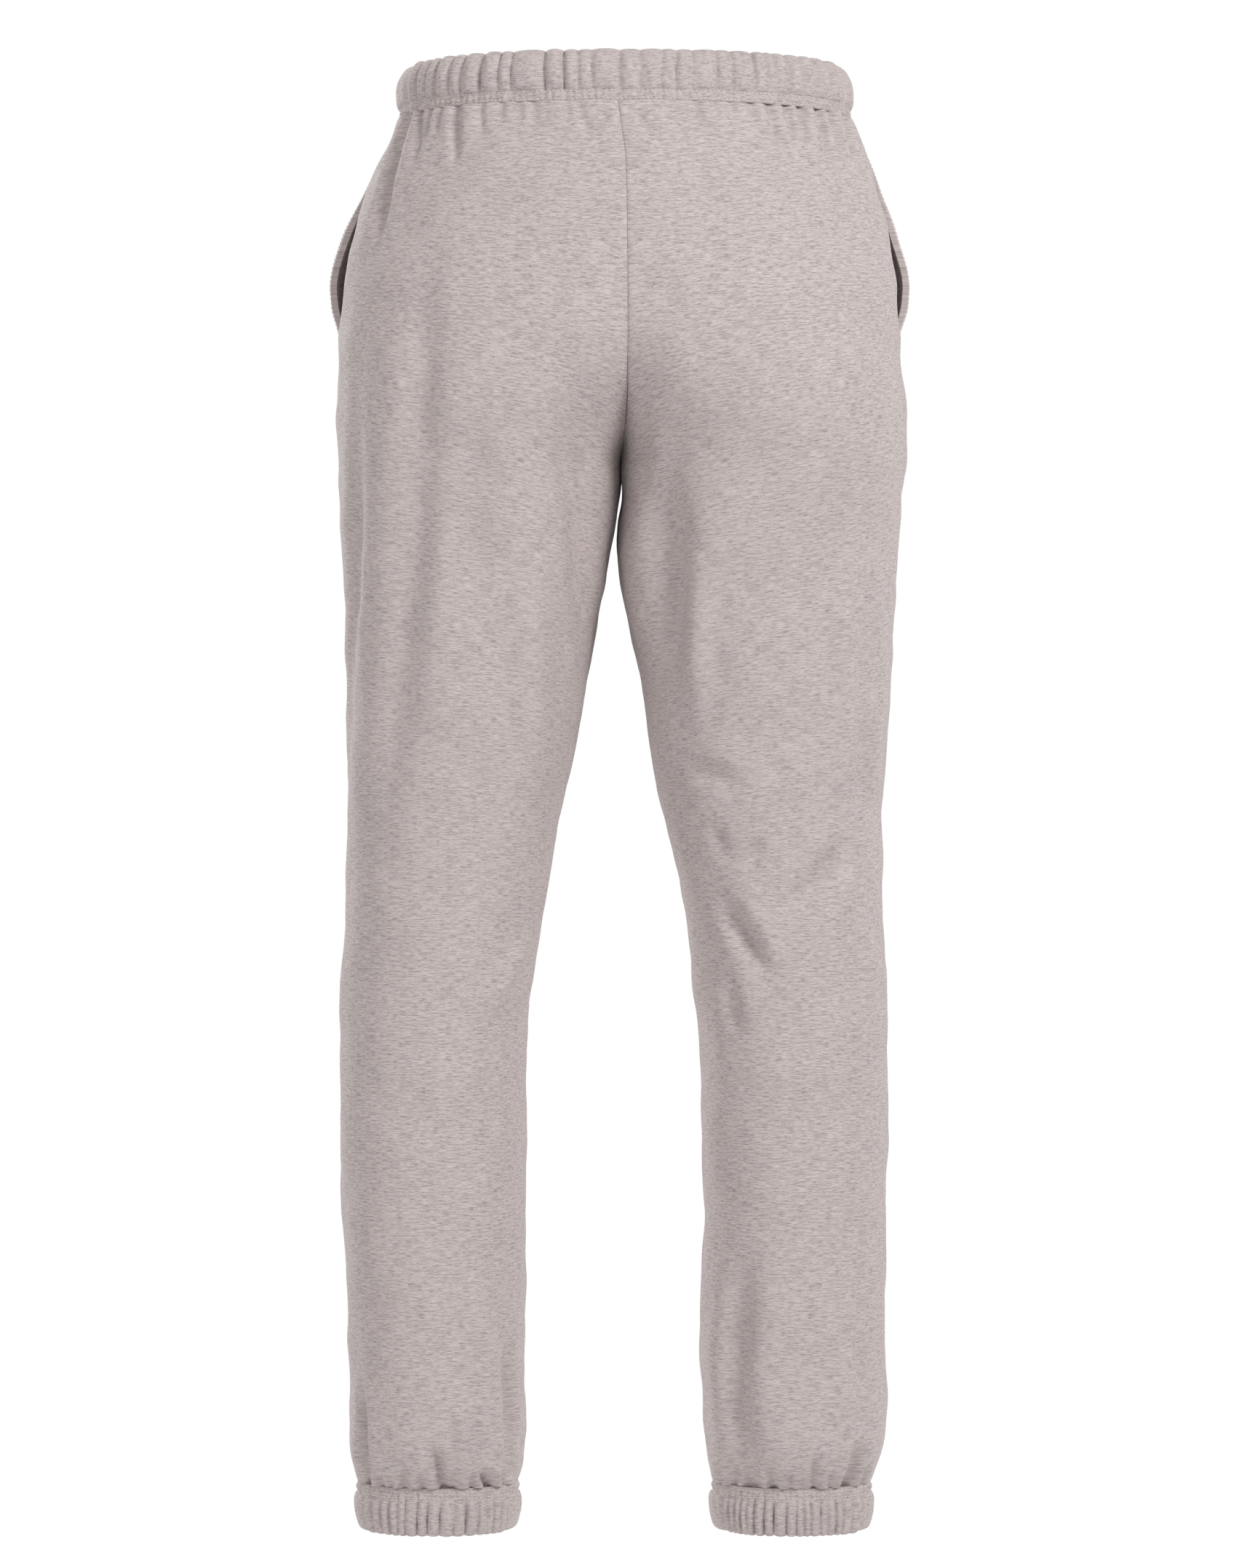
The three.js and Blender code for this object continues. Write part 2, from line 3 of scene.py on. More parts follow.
import bpy
import numpy as np
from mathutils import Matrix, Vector


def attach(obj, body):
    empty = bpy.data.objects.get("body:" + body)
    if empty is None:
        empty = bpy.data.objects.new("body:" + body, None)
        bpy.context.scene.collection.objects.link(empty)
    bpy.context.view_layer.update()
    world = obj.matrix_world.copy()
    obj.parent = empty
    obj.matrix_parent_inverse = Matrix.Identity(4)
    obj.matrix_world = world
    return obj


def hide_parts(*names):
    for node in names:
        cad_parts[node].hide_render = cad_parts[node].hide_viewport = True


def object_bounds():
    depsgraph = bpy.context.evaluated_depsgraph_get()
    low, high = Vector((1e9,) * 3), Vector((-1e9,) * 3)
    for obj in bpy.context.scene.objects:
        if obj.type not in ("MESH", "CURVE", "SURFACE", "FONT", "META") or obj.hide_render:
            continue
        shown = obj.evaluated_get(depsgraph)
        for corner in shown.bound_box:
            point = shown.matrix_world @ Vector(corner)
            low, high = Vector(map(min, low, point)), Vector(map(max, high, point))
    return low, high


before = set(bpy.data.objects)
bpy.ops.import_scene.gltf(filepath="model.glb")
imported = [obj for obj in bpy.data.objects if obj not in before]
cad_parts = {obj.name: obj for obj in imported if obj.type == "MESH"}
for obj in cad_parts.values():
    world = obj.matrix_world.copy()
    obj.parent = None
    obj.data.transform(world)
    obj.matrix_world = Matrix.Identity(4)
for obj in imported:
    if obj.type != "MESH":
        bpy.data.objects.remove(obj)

CAD_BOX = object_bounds()

# Back panels
# Each is one piece of sweatshirt knit from waistband to cuff, cut with a curved centre seam and
# sewn to its front along the side seam and the inseam. Lengths are in millimetres here.

MM = 0.001
SEAM_GAP = 0.06
WALL = 1.8
ROUNDNESS = 2.3
WAIST_SEAM = -19.0
CROTCH = -262.0
CUFF_SEAM = -970.0
ROW_SPACING = 4.5
HEM_ROW_SPACING = 2.6
SIGN = {"left": 1, "right": -1}
FACING = {"back": 1, "front": -1}

WIDTHS = {
    "left": dict(
        z=[-16.5, -36, -56, -76, -97, -117, -137, -178, -219, -262, -280, -301, -321, -341, -382,
           -423, -464, -505, -545, -586, -627, -647, -729, -770, -811, -851, -892, -933, -953, -970],
        outer=[156.5, 163.7, 175.4, 183.5, 190, 195, 198, 200, 201.2, 199.6, 199.4, 198.4, 196.4,
               195.3, 194.3, 194, 193.8, 193.8, 194.3, 195.8, 197.9, 198.9, 198.9, 197.9, 195.8,
               192.8, 192.3, 191.8, 190.7, 187.2],
        inner=[0, 0, 0, 0, 0, 0, 0, 0, 0, 2.5, 3.6, 6.6, 10.2, 13.3, 21.4, 28, 35.2, 45.4, 51.5,
               58.6, 65.3, 67.8, 68.9, 69, 69.2, 69.9, 69.9, 68.9, 70.4, 73.9]),
    "right": dict(
        z=[-16.5, -36, -56, -76, -97, -117, -137, -178, -219, -262, -280, -301, -321, -341, -362,
           -382, -423, -464, -484, -505, -545, -586, -627, -647, -688, -749, -790, -831, -872,
           -913, -933, -953, -970],
        outer=[158, 167.8, 174.9, 180.5, 186, 190, 192.6, 193, 196.4, 197.2, 194.8, 192.8, 191.3,
               190.2, 189.2, 188.2, 186.2, 183.1, 181.6, 180.3, 180, 181.6, 183.6, 184.4, 184.6,
               183.6, 183.1, 182.6, 182.4, 184.4, 183.1, 178.5, 173.4],
        inner=[0, 0, 0, 0, 0, 0, 0, 0, 0, -2.2, -1.5, -4.1, -4.6, -2.6, 1.5, 5.6, 13.8, 18.9,
               22.4, 27.5, 37.7, 44.4, 48.5, 51, 53.6, 54.6, 56.6, 53.8, 53, 55, 56.6, 58.1, 61.4]),
}
DEPTHS = dict(
    z=[-16.5, -50, -97, -137, -178, -199, -219, -235, -250, -262, -321, -382, -464, -545, -627,
       -708, -790, -892, -933, -953, -970],
    back=[105, 110, 117, 125, 129, 128, 126, 123, 120, 117, 106, 98, 88, 80, 80, 79, 77, 74, 72,
          65, 51],
    front=[105, 110, 113, 114, 113, 111, 108, 105, 102, 100, 97, 94, 90, 86, 79, 73, 71, 70, 68,
           62, 51],
    cut=[0, 0, 0.06, 0.2, 0.42, 0.59, 0.775, 0.9, 0.98, 1, 1, 1, 1, 1, 1, 1, 1, 1, 1, 1, 1])
CENTRE_SEAM = dict(z=[-16.5, -68, -160, -213, -262], shift=[4.5, -1.5, -2.5, -2.3, 2.35])
POCKET_MOUTH = dict(z=[-45, -70, -100, -130, -145, -170],
                    left=[0, 2, 6.5, 9, 7.5, 0], right=[0, 2, 5, 8, 7, 0])
MOUTH_REACH = 26.0
BACK_EDGE_SHARE = 0.5
MOUTH_HEM = 2.2


def read(rows, column, z):
    """A column of a table at heights z, on a smooth curve that never overshoots its rows."""
    at = -np.asarray(rows["z"], float)
    value = np.asarray(rows[column], float)
    step = np.diff(at)
    slope = np.diff(value) / step
    tangent = np.zeros_like(value)
    tangent[0], tangent[-1] = slope[0], slope[-1]
    before, after = slope[:-1], slope[1:]
    same = before * after > 0
    tangent[1:-1][same] = 2 * before[same] * after[same] / (before[same] + after[same])
    want = np.clip(-np.asarray(z, float), at[0], at[-1])
    i = np.clip(np.searchsorted(at, want, side="right") - 1, 0, len(at) - 2)
    t = (want - at[i]) / step[i]
    rise = value[i + 1] - value[i]
    ease = rise * t * t * (3 - 2 * t)
    bend = step[i] * t * (1 - t) * ((1 - t) * tangent[i] - t * tangent[i + 1])
    return value[i] + ease + bend


def soft_step(x):
    t = np.clip(x, 0, 1)
    return t * t * (3 - 2 * t)


def section(side, face, z):
    """Middle, half width, depth and inner end of a leg's section at height z."""
    outer = float(read(WIDTHS[side], "outer", z))
    depth = float(read(DEPTHS, face, z))
    if z <= CROTCH:
        inner = float(read(WIDTHS[side], "inner", z))
        return (outer + inner) / 2, (outer - inner) / 2, depth, inner
    cut = float(read(DEPTHS, "cut", z))
    end = SIGN[side] * float(read(CENTRE_SEAM, "shift", z)) + SEAM_GAP / 2
    inner = (2 * end - outer * (1 - cut)) / (1 + cut)
    return (outer + inner) / 2, (outer - inner) / 2, depth, end


def spaced_section(side, face, z, shares):
    """Points of a section, spaced along its length from the side seam to its inner end."""
    middle, half, depth, end = section(side, face, z)
    across = max(-1.0, (end - middle) / half)
    last = math.acos(math.copysign(abs(across) ** (ROUNDNESS / 2), across))
    angle = np.linspace(0, last, 600)
    power = 2 / ROUNDNESS
    x = middle + half * np.sign(np.cos(angle)) * np.abs(np.cos(angle)) ** power
    y = depth * np.abs(np.sin(angle)) ** power
    run = np.concatenate([[0], np.cumsum(np.hypot(np.diff(x), np.diff(y)))])
    stop = run[-1] - (SEAM_GAP / 2 if z <= CROTCH else 0)
    want = SEAM_GAP / 2 + (stop - SEAM_GAP / 2) * shares
    px, py = np.interp(want, run, x), np.interp(want, run, y)
    nx = np.sign(px - middle) * np.abs((px - middle) / half) ** (ROUNDNESS - 1) / half
    ny = np.abs(py / depth) ** (ROUNDNESS - 1) / depth
    size = np.hypot(nx, ny)
    return px, py, nx / size, ny / size, want, run[-1] - want


def depth_at(side, face, x, z):
    middle, half, depth, _ = section(side, face, z)
    return depth * (1 - min(1, abs((x - middle) / half)) ** ROUNDNESS) ** (1 / ROUNDNESS)


# The folds of each panel: head and foot as seen from behind or in front, sideways bow, width,
# depth (a ridge is negative), and how much of it is left at the head and at the foot.
FOLD_COLUMNS = ("x1", "z1", "x2", "z2", "bow", "width", "depth", "head", "foot")
FOLDS = {
    ("left", "back"): [
        (150, -24, 171, -125, 4, 7, 8, 0.6, 0),
        (141, -19, 144, -62, 0, 4, 4.2, 1, 0),
        (134, -19, 139, -50, 0, 3.4, 3, 1, 0),
        (126, -19, 129, -42, 0, 3.2, 2.3, 1, 0),
        (115, -19, 115, -66, 0, 4.2, 4.6, 1, 0),
        (98, -19, 98, -46, 0, 3.6, 2.3, 1, 0),
        (84, -19, 85, -36, 0, 3.4, 1.9, 1, 0),
        (72, -19, 72, -34, 0, 3.4, 1.7, 1, 0),
        (62, -19, 61, -38, 0, 3.4, 1.5, 1, 0),
        (40, -19, 37, -36, 0, 3.4, 1.7, 1, 0),
        (31, -22, 23, -46, 0, 3.6, 2.3, 1, 0),
        (137, -85, 178, -560, -14, 16, 8, 0, 0),
        (180, -180, 192, -480, 0, 12, 4.8, 0, 0.2),
        (108, -200, 103, -400, 0, 20, 4.8, 0, 0),
        (46, -185, 30, -400, -8, 18, 8, 0, 0.2),
        (66, -300, 56, -500, 0, 13, -5.1, 0, 0),
        (64, -580, 90, -640, 0, 10, -5.4, 0, 0),
        (58, -600, 72, -650, 0, 8, 4.8, 0, 0),
        (100, -810, 89, -955, 0, 10, -6.4, 0, 0.3),
        (80, -860, 78, -960, 0, 7, 7.2, 0, 0.5),
        (112, -905, 110, -955, 0, 6, -4.8, 0, 0.3),
        (131, -935, 124, -970, 0, 5, 7.2, 0, 1),
        (98, -955, 93, -970, 0, 4, 7.6, 0, 1),
        (182, -890, 179, -970, 0, 5, 6.4, 0, 1),
        (170, -958, 168, -970, 0, 3.6, 4.6, 0, 1),
        (160, -960, 162, -970, 0, 3.6, 4.2, 0, 1),
        (150, -950, 152, -970, 0, 4, 4.2, 0, 1),
        (139, -956, 138, -970, 0, 3.6, 3.8, 0, 1),
        (116, -952, 117, -970, 0, 3.8, 4.2, 0, 1),
        (105, -958, 105, -970, 0, 3.6, 4.2, 0, 1),
        (84, -955, 83, -970, 0, 3.4, 4.2, 0, 1),
    ],
    ("right", "back"): [
        (48, -19, 49, -34, 0, 3.4, 1.7, 1, 0),
        (61, -19, 62, -32, 0, 3.4, 1.5, 1, 0),
        (72, -19, 73, -34, 0, 3.4, 1.5, 1, 0),
        (87, -19, 90, -40, 0, 3.4, 1.9, 1, 0),
        (99, -19, 105, -58, 0, 4, 3.2, 1, 0),
        (111, -19, 118, -56, 0, 4, 3.4, 1, 0),
        (121, -19, 126, -58, 0, 4, 3.8, 1, 0),
        (134, -19, 140, -62, 0, 4, 4.2, 1, 0),
        (142, -19, 150, -56, 0, 4, 3.4, 1, 0),
        (152, -19, 160, -60, 0, 4.4, 4.6, 1, 0),
        (20, -240, 28, -440, 6, 20, 12.8, 0, 0),
        (24, -225, 20, -300, 0, 9, -4, 0, 0),
        (45, -300, 52, -470, 0, 11, -5.4, 0, 0),
        (40, -470, 84, -483, 0, 8, 5.4, 0.2, 0),
        (60, -508, 70, -536, 0, 6, 3.8, 0, 0),
        (64, -560, 99, -622, 3, 8, 9.6, 0.2, 0),
        (70, -610, 78, -660, 0, 8, 4.8, 0, 0),
        (158, -512, 100, -575, 8, 11, 7, 0, 0),
        (98, -470, 116, -480, 0, 6, 3.2, 0, 0),
        (80, -540, 98, -520, 0, 6, 3.5, 0, 0),
        (150, -300, 150, -500, 0, 12, -4.2, 0, 0),
        (168, -420, 164, -512, 0, 10, 5.8, 0, 0),
        (170, -575, 170, -650, 0, 9, -3.8, 0, 0),
        (90, -788, 87, -975, -12, 13, 11.2, 0, 0.6),
        (101, -950, 104, -972, 0, 5, 6.4, 0, 1),
        (152, -860, 150, -930, 0, 10, -4.8, 0, 0),
        (164, -935, 154, -970, 0, 6, 7, 0, 1),
        (131, -945, 131, -970, 0, 4, 4.9, 0, 1),
        (75, -950, 74, -970, 0, 4, 4.6, 0, 1),
        (66, -955, 67, -970, 0, 3.4, 3.8, 0, 1),
        (115, -958, 115, -970, 0, 3.8, 4.2, 0, 1),
        (124, -960, 123, -970, 0, 3.4, 3.4, 0, 1),
        (142, -955, 143, -970, 0, 3.8, 3.8, 0, 1),
        (169, -952, 165, -970, 0, 3.6, 4.2, 0, 1),
    ],
    ("left", "front"): [
        (150, -24, 168, -110, 4, 7, 5.4, 0.6, 0),
        (140, -19, 143, -55, 0, 4, 3.8, 1, 0),
        (131, -19, 134, -46, 0, 3.6, 3, 1, 0),
        (121, -19, 122, -60, 0, 4.2, 4.2, 1, 0),
        (108, -19, 109, -44, 0, 3.6, 2.8, 1, 0),
        (95, -19, 95, -66, 0, 4.4, 4.6, 1, 0),
        (81, -19, 81, -40, 0, 3.6, 2.7, 1, 0),
        (68, -19, 68, -52, 0, 4, 3.4, 1, 0),
        (54, -19, 53, -42, 0, 3.6, 2.7, 1, 0),
        (40, -19, 38, -58, 0, 4, 3.8, 1, 0),
        (26, -19, 24, -44, 0, 3.6, 3, 1, 0),
        (12, -19, 11, -52, 0, 3.8, 3.4, 1, 0),
        (12, -225, 62, -262, 4, 9, 5.4, 0.3, 0),
        (14, -250, 46, -300, 3, 9, 4.8, 0.3, 0),
        (40, -190, 34, -400, -8, 20, 8, 0, 0),
        (110, -230, 112, -430, 0, 22, 5.4, 0, 0),
        (66, -560, 118, -590, 4, 11, 7, 0.2, 0),
        (64, -610, 104, -628, 0, 9, 4.8, 0.2, 0),
        (176, -500, 128, -560, -6, 12, 5.8, 0, 0),
        (112, -820, 108, -970, 6, 12, 8, 0, 0.5),
        (150, -880, 146, -970, 0, 8, 6.4, 0, 0.8),
        (178, -920, 176, -970, 0, 5, 4.8, 0, 1),
        (166, -950, 166, -970, 0, 4, 4.6, 0, 1),
        (157, -955, 157, -970, 0, 3.8, 4.2, 0, 1),
        (136, -945, 136, -970, 0, 4.2, 4.9, 0, 1),
        (126, -956, 126, -970, 0, 3.8, 4.2, 0, 1),
        (117, -950, 118, -970, 0, 4, 4.2, 0, 1),
        (99, -955, 99, -970, 0, 3.8, 4.6, 0, 1),
        (91, -948, 90, -970, 0, 4, 4.9, 0, 1),
        (82, -955, 82, -970, 0, 3.4, 4.2, 0, 1),
    ],
    ("right", "front"): [
        (152, -22, 166, -100, 4, 7, 4.8, 0.6, 0),
        (142, -19, 146, -50, 0, 4, 3.4, 1, 0),
        (133, -19, 136, -58, 0, 4, 4.2, 1, 0),
        (123, -19, 125, -44, 0, 3.6, 2.8, 1, 0),
        (110, -19, 112, -62, 0, 4.2, 4.4, 1, 0),
        (97, -19, 98, -46, 0, 3.6, 2.8, 1, 0),
        (84, -19, 84, -56, 0, 4, 3.8, 1, 0),
        (70, -19, 70, -40, 0, 3.6, 2.5, 1, 0),
        (57, -19, 56, -60, 0, 4.2, 4, 1, 0),
        (43, -19, 42, -44, 0, 3.6, 2.8, 1, 0),
        (29, -19, 27, -50, 0, 3.8, 3.2, 1, 0),
        (15, -19, 13, -42, 0, 3.6, 2.8, 1, 0),
        (14, -230, 58, -272, 4, 9, 5.1, 0.3, 0),
        (36, -190, 26, -400, 8, 20, 8, 0, 0),
        (112, -220, 108, -420, 0, 22, 5.4, 0, 0),
        (52, -560, 106, -598, -4, 11, 7, 0.2, 0),
        (50, -620, 92, -640, 0, 9, 4.8, 0.2, 0),
        (168, -510, 124, -580, 6, 12, 5.8, 0, 0),
        (108, -830, 104, -970, -6, 12, 8, 0, 0.5),
        (136, -870, 134, -970, 0, 8, 5.8, 0, 0.8),
        (162, -915, 160, -970, 0, 5, 4.8, 0, 1),
        (153, -950, 153, -970, 0, 4, 4.6, 0, 1),
        (144, -955, 144, -970, 0, 3.8, 4.2, 0, 1),
        (125, -950, 125, -970, 0, 4, 4.6, 0, 1),
        (116, -956, 116, -970, 0, 3.8, 4.2, 0, 1),
        (96, -950, 96, -970, 0, 4, 4.6, 0, 1),
        (87, -955, 87, -970, 0, 3.8, 4.6, 0, 1),
        (78, -948, 78, -970, 0, 4, 4.9, 0, 1),
        (69, -955, 69, -970, 0, 3.4, 4.2, 0, 1),
    ],
}
FOLD_STEPS = 10


def fold_line(side, face, fold):
    """Points of a fold on the cloth, from head to foot."""
    t = np.linspace(0, 1, FOLD_STEPS + 1)
    dx, dz = fold["x2"] - fold["x1"], fold["z2"] - fold["z1"]
    bow = 4 * t * (1 - t) * fold["bow"] / math.hypot(dx, dz)
    x = fold["x1"] + dx * t - bow * dz
    z = fold["z1"] + dz * t + bow * dx
    y = [depth_at(side, face, float(a), float(b)) for a, b in zip(x, z)]
    return np.stack([x, y, z], axis=1)


def fold_heights(side, face, points):
    """How far the folds push the points of a panel out of its plain section."""
    flat = points.reshape(-1, 3)
    height = np.zeros(len(flat))
    for row in FOLDS[side, face]:
        fold = dict(zip(FOLD_COLUMNS, row))
        line = fold_line(side, face, fold)
        reach = 5 * fold["width"]
        near = np.all((flat > line.min(axis=0) - reach) & (flat < line.max(axis=0) + reach), axis=1)
        p = flat[near]
        nearest = np.full(len(p), np.inf)
        along = np.zeros(len(p))
        for i in range(FOLD_STEPS):
            run = line[i + 1] - line[i]
            t = np.clip((p - line[i]) @ run / (run @ run), 0, 1)
            distance = np.linalg.norm(p - line[i] - t[:, None] * run, axis=1)
            closer = distance < nearest
            nearest[closer] = distance[closer]
            along[closer] = (i + t[closer]) / FOLD_STEPS
        head = fold["head"] + (1 - fold["head"]) * soft_step(along / 0.4)
        foot = fold["foot"] + (1 - fold["foot"]) * soft_step((1 - along) / 0.45)
        d = nearest / fold["width"]
        trough = 1.45 * np.exp(-d ** 2) - 0.45 * np.exp(-(d / 2.2) ** 2)
        height[near] -= fold["depth"] * head * foot * trough
    return height.reshape(points.shape[:-1])


# Small uneven dents that any worn knit has: wave length, direction, phase and height of each.
DENTS = [(94, 0.3, 0.4, 0.5), (71, 1.2, 2.1, 0.42), (57, -0.6, 4.0, 0.36), (43, 0.9, 1.3, 0.26),
         (36, -1.3, 5.2, 0.2), (29, 0.1, 3.3, 0.15), (23, 1.5, 0.9, 0.1)]


def dents(across, z, turn):
    total = np.zeros_like(across)
    for length, way, phase, height in DENTS:
        at = across * math.cos(way + turn) + z * math.sin(way + turn)
        sway = 0.9 * np.sin((across - z) / (2.3 * length) + phase)
        total += height * np.sin(2 * math.pi * at / length + phase + turn + sway)
    return total


def seam_spacing(count):
    """Shares along a section, much closer together beside its two seams."""
    edge = np.array([0, 0.0016, 0.0036, 0.0062, 0.0096, 0.0142, 0.0205])
    inside = np.linspace(0.0285, 1 - 0.0285, count)
    return np.concatenate([edge, inside, 1 - edge[::-1]])


def panel_heights():
    near = np.array([0, 0.45, 1.0, 1.8, 2.9, 4.2])
    top = np.arange(WAIST_SEAM - 6.0, WAIST_SEAM - 60.0, -HEM_ROW_SPACING)
    middle = np.arange(top[-1] - ROW_SPACING, CUFF_SEAM + 62.0, -ROW_SPACING)
    foot = np.arange(middle[-1] - HEM_ROW_SPACING, CUFF_SEAM + 5.5, -HEM_ROW_SPACING)
    close = [CROTCH + d for d in (9, 5.4, 2.4, 0.8, 0, -0.8, -2.4)]
    rows = np.concatenate([WAIST_SEAM - near, top, middle, foot, close, CUFF_SEAM + near])
    return np.unique(np.round(rows, 3))[::-1]


def panel_grid(side, face):
    """Outer points, inner points and knit coordinates of a panel."""
    shares = seam_spacing(PANEL_COLUMNS)
    rows = [spaced_section(side, face, float(z), shares) for z in panel_heights()]
    x, y, nx, ny, from_side, to_inner = (np.array([row[k] for row in rows]) for k in range(6))
    z = np.repeat(panel_heights()[:, None], len(shares), axis=1)
    edge = soft_step(to_inner / 16) * (0.35 + 0.65 * soft_step(from_side / 10))
    push = fold_heights(side, face, np.stack([x, y, z], axis=-1)) * edge
    turn = {"left": 0.0, "right": 0.8}[side] + {"back": 0.0, "front": 1.7}[face]
    push += dents(from_side, z, turn) * soft_step(to_inner / 12) * soft_step(from_side / 8)
    push -= seam_dip(from_side) + seam_dip(to_inner) * soft_step((CROTCH - z) / 12)
    sunk = seam_dip(to_inner) * soft_step((z - CROTCH) / 12) * soft_step(y / 10)
    push -= CASING_DIP * (seam_dip(WAIST_SEAM - z) + seam_dip(z - CUFF_SEAM))
    push += seam_pucker(from_side, z, 1.1) + seam_pucker(to_inner, z, 2.3)
    mouth = read(POCKET_MOUTH, side, z) * np.exp(-(from_side / MOUTH_REACH) ** 2)
    gape = -mouth * BACK_EDGE_SHARE if face == "back" else mouth
    wall = WALL + (MOUTH_HEM * soft_step(mouth / 5) * soft_step((14 - from_side) / 6)
                   if face == "front" else 0)
    skins = []
    for push_here in (push, push - wall):
        skins.append(np.stack([SIGN[side] * (x + nx * push_here + gape),
                               FACING[face] * (y + ny * push_here - sunk), z], -1))
    outer, inner = skins
    course = z + COURSE_TILT * soft_step((-z) / 260) * (1 - soft_step((-z - 300) / 300)) * from_side
    return outer, inner, np.stack([from_side, course], -1) * MM


COURSE_TILT = 0.14
CASING_DIP = 0.35
PANEL_COLUMNS = 112


def seam_dip(distance):
    """The cloth rolls into a sewn seam over its last few millimetres."""
    return 1.1 * np.exp(-np.maximum(distance, 0) / 1.3)


def seam_pucker(distance, z, phase):
    wave = np.sin(z / 4.3 + 1.7 * np.sin(z / 19 + phase)) * np.sin(z / 31 + phase)
    return 0.22 * wave * np.exp(-((distance - 3) / 5) ** 2)


def cloth_mesh(name, outer, inner, knit, around=False):
    """A closed shell between two grids of points, with its knit coordinates as a UV map."""
    rows, columns = outer.shape[:2]
    index = np.arange(rows * columns).reshape(rows, columns)
    wrap = np.concatenate([index, index[:, :1]], axis=1) if around else index
    far = rows * columns
    skin = quads(wrap)
    faces = [skin, skin[:, ::-1] + far]
    smooth = 2 * len(skin)
    for edge, flip in ((wrap[0], True), (wrap[-1], False)):
        faces.append(rim(edge, far, flip))
    if not around:
        faces += [rim(index[:, 0], far, False), rim(index[:, -1], far, True)]
    points = np.concatenate([outer.reshape(-1, 3), inner.reshape(-1, 3)]) * MM
    faces = np.concatenate(faces)
    faces = faces if outward(points, faces) else faces[:, ::-1]
    mesh = bpy.data.meshes.new(name)
    mesh.from_pydata(points.tolist(), [], faces.tolist())
    mesh.polygons.foreach_set("use_smooth", np.arange(len(faces)) < smooth)
    uv = np.concatenate([knit.reshape(-1, 2)] * 2)
    loops = np.zeros(len(mesh.loops), int)
    mesh.loops.foreach_get("vertex_index", loops)
    mesh.uv_layers.new(name="knit").data.foreach_set("uv", uv[loops].ravel())
    mesh.update()
    piece = bpy.data.objects.new(name, mesh)
    bpy.context.scene.collection.objects.link(piece)
    return piece


def quads(index):
    a, b = index[:-1, :-1].ravel(), index[:-1, 1:].ravel()
    c, d = index[1:, 1:].ravel(), index[1:, :-1].ravel()
    return np.stack([a, b, c, d], axis=1)


def rim(edge, far, flip):
    """The strip that joins an edge of the outer face to the same edge of the inner face."""
    a, b = edge[:-1], edge[1:]
    strip = np.stack([a, b, b + far, a + far], axis=1)
    return strip[:, ::-1] if flip else strip


def outward(points, faces):
    a, b, c, d = (points[faces[:, k]] for k in range(4))
    volume = np.sum(a * np.cross(b, c)) + np.sum(a * np.cross(c, d))
    return volume > 0


# Shader sums are written as expressions on this wrapper of a socket.
class Field:
    def __init__(self, tree, socket):
        self.tree, self.socket = tree, socket

    def math(self, operation, *values):
        return node(self.tree, "ShaderNodeMath", {"operation": operation}, values)

    def __add__(self, other):
        return self.math("ADD", self, other)

    def __radd__(self, other):
        return self.math("ADD", other, self)

    def __sub__(self, other):
        return self.math("SUBTRACT", self, other)

    def __rsub__(self, other):
        return self.math("SUBTRACT", other, self)

    def __mul__(self, other):
        return self.math("MULTIPLY", self, other)

    def __rmul__(self, other):
        return self.math("MULTIPLY", other, self)

    def __truediv__(self, other):
        return self.math("DIVIDE", self, other)

    def __neg__(self):
        return self.math("MULTIPLY", self, -1.0)

    def sine(self):
        return self.math("SINE", self)

    def clamp(self):
        return node(self.tree, "ShaderNodeClamp", {}, (self, 0.0, 1.0))


def node(tree, kind, settings, inputs, output=0):
    """Adds a node with its settings and the values or links of its sockets; returns one output."""
    made = tree.nodes.new(kind)
    for key, value in settings.items():
        setattr(made, key, value)
    named = inputs.items() if isinstance(inputs, dict) else enumerate(inputs)
    for key, value in named:
        if isinstance(value, Field):
            tree.links.new(value.socket, made.inputs[key])
        else:
            made.inputs[key].default_value = value
    return Field(tree, made.outputs[output]) if made.outputs else None


def ramp(tree, factor, stops):
    """A colour ramp given as (place, grey) stops."""
    made = tree.nodes.new("ShaderNodeValToRGB")
    elements = made.color_ramp.elements
    while len(elements) < len(stops):
        elements.new(0.5)
    for element, (place, value) in zip(elements, stops):
        element.position = place
        element.color = (value, value, value, 1)
    tree.links.new(factor.socket, made.inputs[0])
    return Field(tree, made.outputs[0])


def colour_mix(tree, factor, first, second, blend="MIX"):
    settings = {"data_type": "RGBA", "blend_type": blend}
    return node(tree, "ShaderNodeMix", settings, {0: factor, 6: first, 7: second}, 2)


